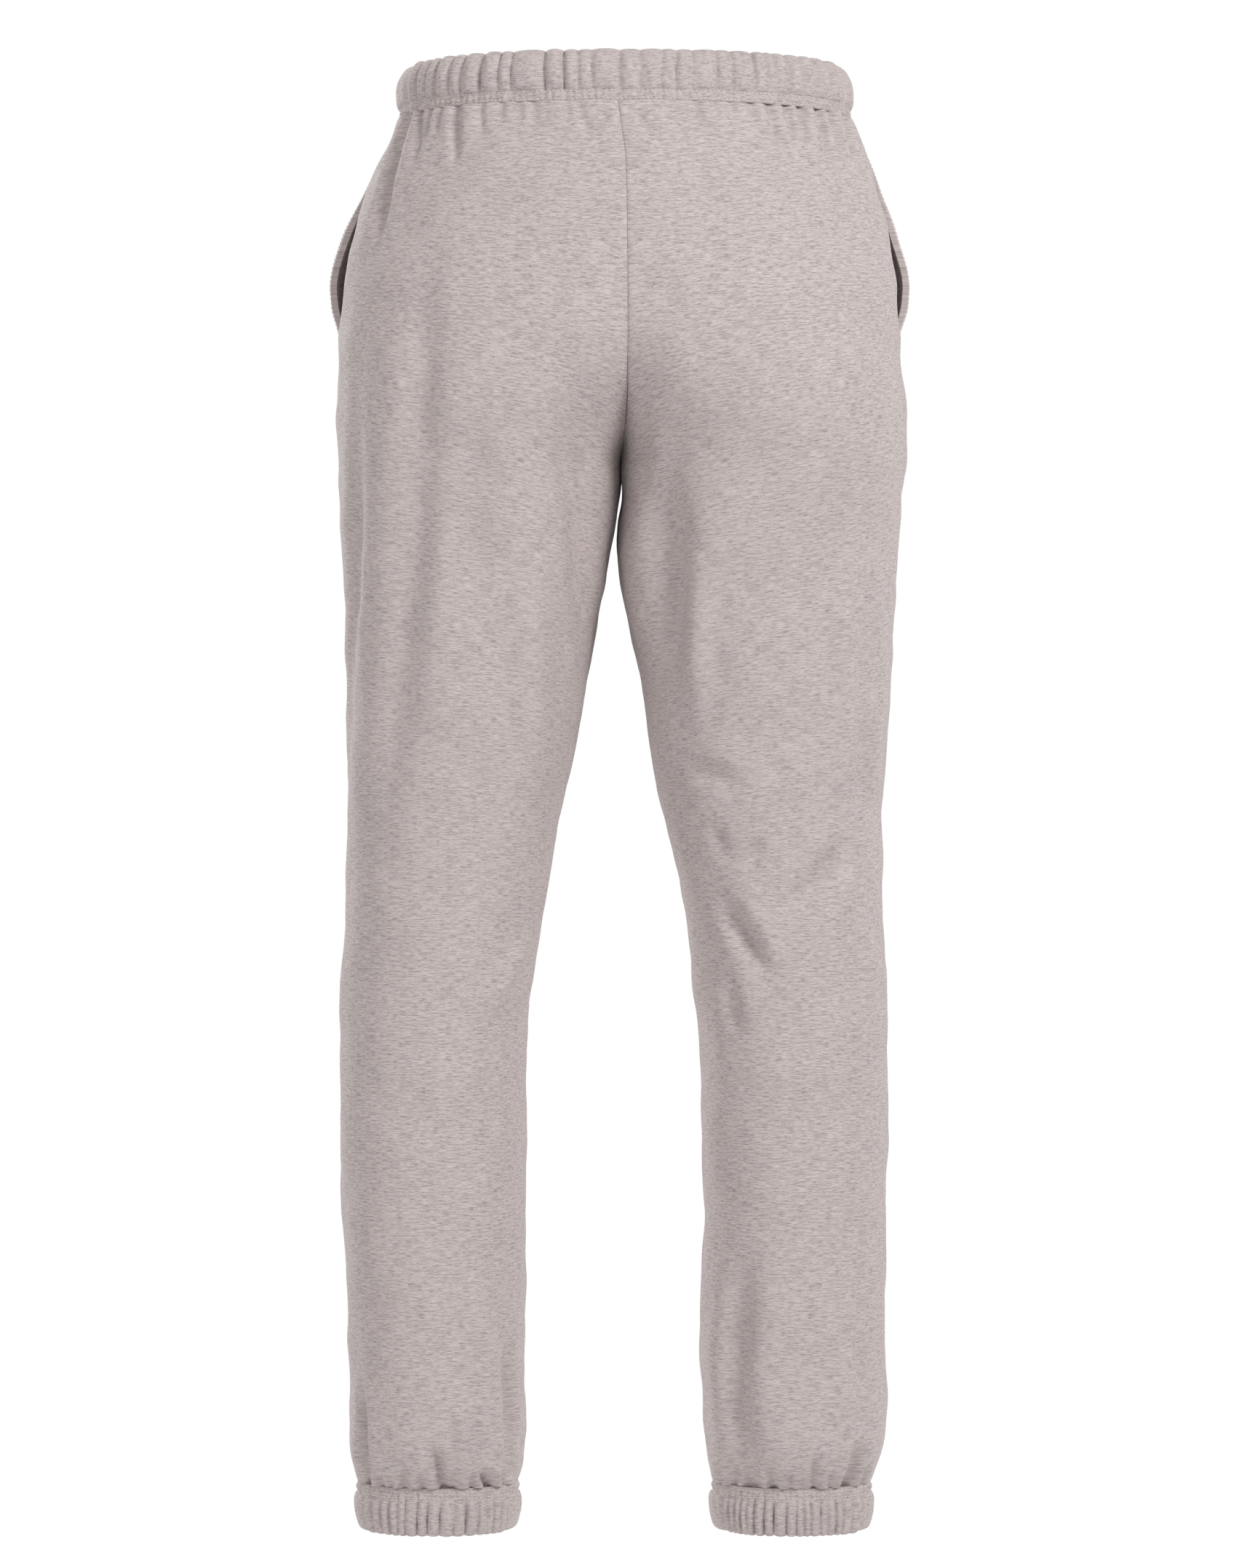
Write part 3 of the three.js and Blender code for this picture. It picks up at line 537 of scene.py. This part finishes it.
def knit_finish(name, light, dark, sheen, wale=0.95, course=0.75):
    """Melange sweatshirt knit: short streaks of darker fibre along the courses, fine loops."""
    finish = bpy.data.materials.new(name)
    finish.use_nodes = True
    tree = finish.node_tree
    tree.nodes.clear()
    uv = node(tree, "ShaderNodeUVMap", {"uv_map": "knit"}, {})

    def streaks(long, tall, detail, seed):
        scale = (1 / (long * MM), 1 / (tall * MM), 1.0)
        place = node(tree, "ShaderNodeMapping", {}, {"Vector": uv, "Scale": scale,
                                                     "Location": (seed, seed * 1.7, 0)})
        return node(tree, "ShaderNodeTexNoise", {"noise_dimensions": "2D"},
                    {"Vector": place, "Scale": 1.0, "Detail": detail, "Roughness": 0.6})

    fine = streaks(4.6, 0.55, 3.0, 3.1)
    coarse = streaks(13.0, 1.2, 2.0, 7.7)
    grain = streaks(0.9, 0.6, 1.0, 5.9)
    patch = streaks(60.0, 26.0, 2.0, 1.3)
    fleck = ramp(tree, fine, [(0.34, 1.0), (0.52, 0.25), (0.7, 0.0)])
    band = ramp(tree, coarse, [(0.36, 1.0), (0.55, 0.2), (0.68, 0.0)])
    amount = (fleck * 0.6 + band * 0.34 + (patch - 0.5) * 0.12 + (grain - 0.5) * 0.5).clamp()
    colour = colour_mix(tree, amount, light, dark)
    split = node(tree, "ShaderNodeSeparateXYZ", {}, {0: uv})
    v = Field(tree, split.socket.node.outputs[1])
    loops = (split * (2 * math.pi / (wale * MM)) + (v * (math.pi / (course * MM))).sine()).sine()
    rows = (v * (2 * math.pi / (course * MM))).sine()
    relief = loops * 0.5 + rows * 0.25 + fine * 1.4
    bump = node(tree, "ShaderNodeBump", {}, {"Strength": 0.35, "Distance": 0.00022, "Height": relief})
    rough = (fine * 0.12 + 0.84).clamp()
    shader = node(tree, "ShaderNodeBsdfPrincipled", {}, {
        "Base Color": colour, "Roughness": rough, "Normal": bump, "Sheen Weight": sheen,
        "Sheen Roughness": 0.45, "Specular IOR Level": 0.2})
    node(tree, "ShaderNodeOutputMaterial", {}, {"Surface": shader})
    return finish


MELANGE = knit_finish("melange_knit", (0.56, 0.49, 0.477, 1), (0.25, 0.216, 0.213, 1), 0.15)


def dress(piece, finish, slot, *nodes):
    piece.data.materials.append(finish)
    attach(piece, "root")
    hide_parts(*nodes)


def leg_panel(side, face):
    outer, inner, knit = panel_grid(side, face)
    piece = cloth_mesh(f"{face}_panel_{side}", outer, inner, knit)
    dress(piece, MELANGE, "melange_knit", f"{face}_{side}")
    return piece


for leg in SIGN:
    leg_panel(leg, "back")


# Front panels
# The same knit, a little narrower and flatter than the backs, sewn to them down both seams.
# Their side edges stand out a little where the pocket mouths gape.

for leg in SIGN:
    leg_panel(leg, "front")


# Pocket bags
# Each is a bag of lighter knit inside the side seam, sewn round its edge and open at the mouth.
# One layer lies along the front panel and the other hangs free behind it.

POCKET_WALL = 1.2
POCKET_BAG = dict(z=[-54, -72, -100, -135, -170, -205, -235, -249],
                  reach=[48, 84, 112, 126, 130, 122, 92, 48], space=[1.2, 4, 9, 12, 9, 5, 3, 1.2])
POCKET_SEAT = 2.4


def pocket_bag(side):
    outer, inner, knit = [], [], []
    for z in np.arange(POCKET_BAG["z"][0], POCKET_BAG["z"][-1] - 0.1, -3.0):
        reach = float(read(POCKET_BAG, "reach", z))
        space = float(read(POCKET_BAG, "space", z)) + 2 * POCKET_WALL
        whole = spaced_section(side, "front", float(z), np.array([1.0]))[4][0]
        mouth = float(read(POCKET_MOUTH, side, z))

        def sheet(extra):
            shares = np.linspace(0.004, (reach - extra) / whole, 40)
            x, y, nx, ny, from_side, _ = spaced_section(side, "front", float(z), shares)
            gape = mouth * np.exp(-(from_side / MOUTH_REACH) ** 2)
            seat = WALL + POCKET_SEAT + 2.6 * soft_step(from_side / 40)
            layers = [np.stack([SIGN[side] * (x - nx * depth + gape), -(y - ny * depth),
                                np.full_like(x, z)], -1)
                      for depth in (seat + extra, seat + space - extra)]
            return np.concatenate([layers[0], layers[1][::-1]]), from_side

        skin, from_side = sheet(0)
        outer.append(skin)
        inner.append(sheet(POCKET_WALL)[0])
        across = np.concatenate([from_side, 2 * from_side[-1] - from_side[::-1]])
        knit.append(np.stack([across, np.full_like(across, z)], -1) * MM)
    return cloth_mesh(f"pocket_bag_{side}", np.array(outer), np.array(inner), np.array(knit))


POCKETING = knit_finish("pocket_knit", (0.52, 0.452, 0.44, 1), (0.25, 0.216, 0.213, 1), 0.15)
for leg in SIGN:
    bag = pocket_bag(leg)
    dress(bag, POCKETING, "pocket_knit", f"pocket_{leg}")


# Waistband
# A separate strip of the same knit, turned over a wide elastic and sewn down with two rows of
# stitches, which gather it into uneven upright folds all the way round.

WAIST_RING = dict(centre=-0.75, half=157.25, depth=105.0)
WAIST_GATHERS = {
    "back": [(-151, 1.6), (-141.8, 1.8), (-132.1, 1.4), (-123.4, 1.5), (-113.7, 1.5),
             (-105, 1.2), (-98.9, 1.2), (-89.8, 2.4), (-74, 1.6), (-63.2, 1.2), (-45.9, 1.2),
             (-34.2, 2), (-24.5, 1), (-9.7, 1.4), (3.1, 1.8), (21.4, 1.4), (30.6, 1.4),
             (40.3, 2.4), (53.6, 2.8), (77.5, 1.6), (86.2, 1.6), (99.5, 3), (112.7, 2),
             (120.9, 1.8), (130.6, 3), (136.7, 1.4), (142.8, 2.2), (149.4, 2.6)],
    "front": [(150, 2), (142, 1.6), (134, 2.2), (125, 1.4), (115, 2), (106, 1.4), (95, 2.6),
              (84, 1.4), (75, 1.8), (60, 2.4), (48, 1.2), (35, 1.8), (22, 1.4), (8, 2), (-6, 1.4),
              (-20, 2), (-31, 1.2), (-45, 2.4), (-58, 1.4), (-70, 1.8), (-84, 2.2), (-95, 1.4),
              (-104, 2), (-116, 1.4), (-125, 2), (-133, 1.5), (-142, 2), (-150, 1.6)],
}
# Along the profile of a casing: height, distance out from the ring, and share of the gathers.
WAIST_PROFILE = dict(
    z=[0, -2, -4, -7, -10, -14, -20, -27, -34, -39, -42, -44.5, -48, -56, -66, -78],
    height=[-19.0, -18.3, -15.6, -12.8, -10.5, -6.5, -0.5, 6.5, 12.2, 15.4, 16.4, 16.2, 14, 6.5,
            -4, -19.0],
    out=[-0.5, -0.9, 0.1, -1.0, 0.3, 1.1, 1.2, 0.1, -2.8, -5.4, -7.3, -8.8, -10, -8.4, -6, -4.8],
    share=[0.2, 0.15, 0.25, 0.2, 0.75, 1, 1.05, 1, 0.95, 0.8, 0.6, 0.4, 0.2, 0, 0, 0])


def ring_curve(ring):
    """Points of a casing's ring, their outward directions and their distance round it."""
    angle = np.linspace(0, 2 * math.pi, 4001)
    power = 2 / ROUNDNESS
    u = np.sign(np.cos(angle)) * np.abs(np.cos(angle)) ** power
    v = np.sign(np.sin(angle)) * np.abs(np.sin(angle)) ** power
    x, y = ring["centre"] + ring["half"] * u, ring["depth"] * v
    nx = np.sign(u) * np.abs(u) ** (ROUNDNESS - 1) / ring["half"]
    ny = np.sign(v) * np.abs(v) ** (ROUNDNESS - 1) / ring["depth"]
    size = np.hypot(nx, ny)
    run = np.concatenate([[0], np.cumsum(np.hypot(np.diff(x), np.diff(y)))])
    return x, y, nx / size, ny / size, run


def ring_valleys(ring, gathers):
    """Where each valley lies round the ring, in millimetres, and its depth, in order."""
    x, y, _, _, run = ring_curve(ring)
    found = []
    for face, rows in gathers.items():
        half = np.flatnonzero(y >= 0) if face == "back" else np.flatnonzero(y <= 0)
        for place, depth in rows:
            found.append((run[half[np.argmin(np.abs(x[half] - place))]], depth))
    return np.array(sorted(found))


def gather_wave(at, whole, valleys):
    """Sharp valleys with rounded cloth between them, as gathers on elastic are."""
    place, depth = valleys[:, 0], valleys[:, 1]
    k = np.searchsorted(place, at % whole, side="right") - 1
    start, stop = place[k], place[(k + 1) % len(place)]
    span = (stop - start) % whole
    t = ((at - start) % whole) / span
    low, high = depth[k], depth[(k + 1) % len(place)]
    mean = whole / len(place)
    puff = 0.7 * (low + high) / 2 * np.minimum(1.25, span / mean)
    floor = -2.0 * (low * (1 - t) + high * t)
    return floor + (puff - floor) * np.sin(math.pi * t) ** 0.4


def casing_grid(ring, profile, valleys, spacing, levels, seed):
    x, y, nx, ny, run = ring_curve(ring)
    whole = run[-1]
    columns = int(whole / spacing)
    at = np.linspace(0, whole, columns, endpoint=False)
    along = np.linspace(0, -profile["z"][-1], levels)
    height = read(profile, "height", -along)[:, None]
    out = read(profile, "out", -along)[:, None]
    share = read(profile, "share", -along)[:, None]
    lean = 1.3 * np.sin(at / 23.0 + seed) * (height - height[0]) / 30.0
    wave = gather_wave(at[None, :] + lean, whole, valleys) * share
    crinkle = 0.28 * np.sin(at / 1.35 + 1.3 * np.sin(at / 9.1 + seed) + height / 7)
    crinkle = crinkle * share * np.sin(at / 17 + seed + height / 9)
    pucker = 0.5 * np.sin(2 * math.pi * at / 4.6 + 1.6 * np.sin(at / 21 + seed))
    pucker = pucker * np.exp(-((along[:, None] - 4.6) / 2.6) ** 2)
    push = out + wave + crinkle + pucker
    rise = height - height[0]
    tip = np.sign(rise[levels // 2]) * soft_step(4 * np.abs(rise) / np.abs(rise).max() - 3)
    px, py = np.interp(at, run, x), np.interp(at, run, y)
    qx, qy = np.interp(at, run, nx), np.interp(at, run, ny)
    bob = 0.25 * np.sin(at / 6.1 + seed) * share
    points = np.stack([px + qx * push, py + qy * push, height + bob + 0.4 * wave * tip], -1)
    knit = np.stack([at * 1.35 + 0 * push, along[:, None] + 0 * push], -1) * MM
    return points, knit


def ring_mesh(name, points, knit):
    """A ring whose profile closes on itself."""
    rows, columns = points.shape[:2]
    index = np.arange(rows * columns).reshape(rows, columns)
    wrap = np.concatenate([index, index[:, :1]], axis=1)
    faces = quads(np.concatenate([wrap, wrap[:1]]))
    points = points.reshape(-1, 3) * MM
    faces = faces if outward(points, faces) else faces[:, ::-1]
    mesh = bpy.data.meshes.new(name)
    mesh.from_pydata(points.tolist(), [], faces.tolist())
    mesh.polygons.foreach_set("use_smooth", np.ones(len(faces), bool))
    loops = np.zeros(len(mesh.loops), int)
    mesh.loops.foreach_get("vertex_index", loops)
    mesh.uv_layers.new(name="knit").data.foreach_set("uv", knit.reshape(-1, 2)[loops].ravel())
    mesh.update()
    piece = bpy.data.objects.new(name, mesh)
    bpy.context.scene.collection.objects.link(piece)
    return piece


CASING = knit_finish("casing_knit", (0.555, 0.485, 0.472, 1), (0.25, 0.216, 0.213, 1), 0.15)
waist_points, waist_knit = casing_grid(WAIST_RING, WAIST_PROFILE,
                                       ring_valleys(WAIST_RING, WAIST_GATHERS), 1.1, 64, 0.4)
waistband = ring_mesh("waist_casing", waist_points, waist_knit)
dress(waistband, CASING, "casing_knit", "waistband")


# Cuffs
# The foot of each leg ends in the same kind of casing, 31 mm deep over narrow elastic, with two
# rows of stitches at its top and the cloth puckered between them.

CUFF_RINGS = {"left": dict(centre=130.55, half=56.2, depth=50.0),
              "right": dict(centre=-117.4, half=55.2, depth=50.0)}
CUFF_GATHERS = {
    "left": [(181, 1.6), (175.4, 1), (168.8, 1.6), (162.7, 2), (156.6, 1.2), (151, 1.6),
             (142.3, 2.2), (135.2, 2.2), (126.5, 2), (116.8, 1.2), (108.6, 2.3), (100.5, 1.7),
             (94.9, 1.1), (90.3, 1.6), (85.7, 1.3), (81.6, 1.5)],
    "right": [(-164.7, 1.6), (-157.6, 1.2), (-151, 1.2), (-145.9, 2.2), (-140.3, 1.1),
              (-135.2, 1.6), (-128.5, 1.8), (-124, 1.7), (-118.8, 1.6), (-112.2, 2.2),
              (-103.5, 2.5), (-96.9, 2.4), (-90.3, 2.3), (-85, 1), (-81, 2.4), (-77, 1.8),
              (-73, 1.5), (-69.6, 2.2)],
}
CUFF_PROFILE = dict(
    z=[0, -2, -5, -8, -11, -16, -22, -28, -33, -36.5, -39, -42, -50, -60, -71],
    height=[-970.0, -971.8, -974.6, -977.6, -980, -984.5, -990, -995.6, -1000.2, -1002.8, -1003.5,
            -1002.6, -996, -986, -970.0],
    out=[-0.5, -0.6, 0.3, -0.7, 0.4, 0.9, 0.6, -0.4, -1.6, -3.2, -5, -6.8, -7, -5.6, -4.6],
    share=[0.2, 0.15, 0.25, 0.2, 0.8, 1.1, 1.1, 1.05, 0.95, 0.75, 0.45, 0.2, 0, 0, 0])

cuff_points = {}
for leg, ring in CUFF_RINGS.items():
    gathers = {"back": CUFF_GATHERS[leg], "front": CUFF_GATHERS[leg]}
    cuff_points[leg], cuff_knit = casing_grid(ring, CUFF_PROFILE, ring_valleys(ring, gathers),
                                              0.8, 60, {"left": 1.1, "right": 2.6}[leg])
    cuff = ring_mesh(f"cuff_casing_{leg}", cuff_points[leg], cuff_knit)
    dress(cuff, CASING, "casing_knit", f"cuff_{leg}")


# Stitching
# Two rows of lockstitch hold each casing down and one runs along the front edge of each pocket
# mouth, in thread of the cloth's own colour. One stitch is laid after another along each row.

STITCH = {"Spacing": 3.1 * MM, "Length": 2.4 * MM, "Thickness": 0.8 * MM}
STITCH_LIFT = 0.12
CASING_ROWS = (2.2, 7.6)
POCKET_ROW = 3.6


def stitch_tree():
    """Node tree that turns polylines into rows of stitches; its sizes are named inputs."""
    tree = bpy.data.node_groups.new("stitches", "GeometryNodeTree")
    sockets = tree.interface
    sockets.new_socket(name="Rows", in_out="INPUT", socket_type="NodeSocketGeometry")
    for label in STITCH:
        sockets.new_socket(name=label, in_out="INPUT", socket_type="NodeSocketFloat")
    sockets.new_socket(name="Thread", in_out="INPUT", socket_type="NodeSocketMaterial")
    sockets.new_socket(name="Stitches", in_out="OUTPUT", socket_type="NodeSocketGeometry")
    given = tree.nodes.new("NodeGroupInput")
    rows, spacing, length, thick, thread = (Field(tree, given.outputs[k]) for k in range(5))
    curve = node(tree, "GeometryNodeMeshToCurve", {}, {0: rows})
    points = node(tree, "GeometryNodeCurveToPoints", {"mode": "LENGTH"},
                  {"Curve": curve, "Length": spacing})
    turn = Field(tree, points.socket.node.outputs["Rotation"])
    bead = node(tree, "GeometryNodeMeshUVSphere", {}, {"Segments": 6, "Rings": 4, "Radius": 0.5})
    size = node(tree, "ShaderNodeCombineXYZ", {}, {0: thick, 1: thick, 2: length})
    stitch = node(tree, "GeometryNodeTransform", {}, {"Geometry": bead, "Scale": size})
    laid = node(tree, "GeometryNodeInstanceOnPoints", {},
                {"Points": points, "Instance": stitch, "Rotation": turn})
    real = node(tree, "GeometryNodeRealizeInstances", {}, {0: laid})
    dyed = node(tree, "GeometryNodeSetMaterial", {}, {"Geometry": real, "Material": thread})
    node(tree, "NodeGroupOutput", {}, {0: dyed})
    return tree


def casing_rows(points, profile):
    """The polylines of a casing's two rows, just above its cloth."""
    levels = len(points)
    whole = -profile["z"][-1]
    out = points.mean(axis=(0, 1))
    lines = []
    for along in CASING_ROWS:
        line = points[round(along / whole * (levels - 1))].copy()
        away = line - out
        away[:, 2] = 0
        line += STITCH_LIFT * away / np.linalg.norm(away, axis=1)[:, None]
        lines.append((line, True))
    return lines


def mouth_row(side):
    """The polyline of the row along a pocket mouth, on the front panel's outer face."""
    outer, _, knit = panel_grid(side, "front")
    heights = outer[:, 0, 2]
    rows = np.flatnonzero((heights < POCKET_MOUTH["z"][0]) & (heights > POCKET_MOUTH["z"][-1]))
    line = []
    for row in rows:
        from_side = knit[row, :, 0] / MM
        line.append([np.interp(POCKET_ROW, from_side, outer[row, :, k]) for k in range(3)])
    line = np.array(line)
    line[:, 0] += SIGN[side] * STITCH_LIFT
    return line, False


def stitch_rows(lines, thread):
    """One mesh of every row of stitches, made by the node tree and then kept as a plain mesh."""
    points, edges = [], []
    for line, closed in lines:
        start = len(points)
        points += (line * MM).tolist()
        count = len(line)
        edges += [(start + k, start + (k + 1) % count) for k in range(count if closed else count - 1)]
    mesh = bpy.data.meshes.new("stitch_rows")
    mesh.from_pydata(points, edges, [])
    rows = bpy.data.objects.new("stitch_rows", mesh)
    bpy.context.scene.collection.objects.link(rows)
    modifier = rows.modifiers.new("stitches", "NODES")
    modifier.node_group = stitch_tree()
    names = {item.name: item.identifier for item in modifier.node_group.interface.items_tree
             if item.in_out == "INPUT"}
    for label, value in STITCH.items():
        modifier[names[label]] = value
    modifier[names["Thread"]] = thread
    graph = bpy.context.evaluated_depsgraph_get()
    plain = bpy.data.meshes.new_from_object(rows.evaluated_get(graph), depsgraph=graph)
    rows.modifiers.remove(modifier)
    bpy.data.objects.remove(rows)
    stitches = bpy.data.objects.new("stitches", plain)
    bpy.context.scene.collection.objects.link(stitches)
    return stitches


def plain_finish(name, colour):
    finish = bpy.data.materials.new(name)
    finish.use_nodes = True
    shader = finish.node_tree.nodes["Principled BSDF"]
    shader.inputs["Base Color"].default_value = colour
    shader.inputs["Roughness"].default_value = 0.95
    shader.inputs["Specular IOR Level"].default_value = 0.1
    return finish


def thread_finish():
    finish = plain_finish("thread", (0.62, 0.55, 0.535, 1))
    finish.node_tree.nodes["Principled BSDF"].inputs["Roughness"].default_value = 0.7
    return finish


THREAD = thread_finish()
lines = casing_rows(waist_points, WAIST_PROFILE) + [mouth_row(leg) for leg in SIGN]
for leg in SIGN:
    lines += casing_rows(cuff_points[leg], CUFF_PROFILE)
stitches = stitch_rows(lines, THREAD)
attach(stitches, "root")


# Stage, light and camera
# A plain pale floor under a white backdrop, with soft studio light; the camera looks at the back of
# the trousers.

CAMERA_HEIGHT = -483.3
CAMERA_SIDE = -2.3
CAMERA_DISTANCE = 3200.0
IMAGE_HEIGHT = 1099.6
SENSOR = 36.0

lens = SENSOR * CAMERA_DISTANCE / IMAGE_HEIGHT
camera_data = bpy.data.cameras.new("camera")
camera_data.sensor_fit = "VERTICAL"
camera_data.sensor_height = SENSOR
camera_data.lens = lens
camera = bpy.data.objects.new("camera", camera_data)
camera.location = (CAMERA_SIDE * MM, CAMERA_DISTANCE * MM, CAMERA_HEIGHT * MM)
camera.rotation_euler = (math.radians(90), 0, math.radians(180))
bpy.context.scene.collection.objects.link(camera)
bpy.context.scene.camera = camera

FLOOR_DROP = 0.8
FLOOR_RADIUS = 1.5
FLOOR_SIDES = 96

floor_mesh = bpy.data.meshes.new("floor")
level = CAD_BOX[0][2] - FLOOR_DROP
turns = [2 * math.pi * k / FLOOR_SIDES for k in range(FLOOR_SIDES)]
floor_mesh.from_pydata([(FLOOR_RADIUS * math.cos(a), FLOOR_RADIUS * math.sin(a), level)
                        for a in turns], [], [tuple(range(FLOOR_SIDES))])
floor = bpy.data.objects.new("floor", floor_mesh)
floor_mesh.materials.append(plain_finish("pale_floor", (0.9, 0.9, 0.9, 1)))
bpy.context.scene.collection.objects.link(floor)

world = bpy.context.scene.world or bpy.data.worlds.new("studio")
bpy.context.scene.world = world
world.use_nodes = True
sky = world.node_tree
sky.nodes.clear()
lit = node(sky, "ShaderNodeBackground", {}, {"Color": (1, 1, 1, 1), "Strength": 0.56})
seen = node(sky, "ShaderNodeBackground", {}, {"Color": (1, 1, 1, 1), "Strength": 1.0})
ray = node(sky, "ShaderNodeLightPath", {}, {})
node(sky, "ShaderNodeOutputWorld", {}, {
    "Surface": node(sky, "ShaderNodeMixShader", {}, {0: ray, 1: lit, 2: seen})})
bpy.context.scene.view_settings.view_transform = "Standard"


def soft_light(name, place, size, power):
    lamp = bpy.data.lights.new(name, "AREA")
    lamp.shape = "RECTANGLE"
    lamp.size, lamp.size_y = size
    lamp.energy = power
    holder = bpy.data.objects.new(name, lamp)
    holder.location = place
    aim = Vector((0, 0, -0.5)) - Vector(place)
    holder.rotation_euler = aim.to_track_quat("-Z", "Y").to_euler()
    bpy.context.scene.collection.objects.link(holder)


soft_light("key_back", (-1.8, 2.2, 1.2), (1.2, 1.2), 74)
soft_light("fill_back", (2.4, 2.2, -0.2), (1.8, 2.0), 26)
soft_light("key_front", (1.8, -2.2, 1.2), (1.2, 1.2), 74)
soft_light("fill_front", (-2.4, -2.2, -0.2), (1.8, 2.0), 26)
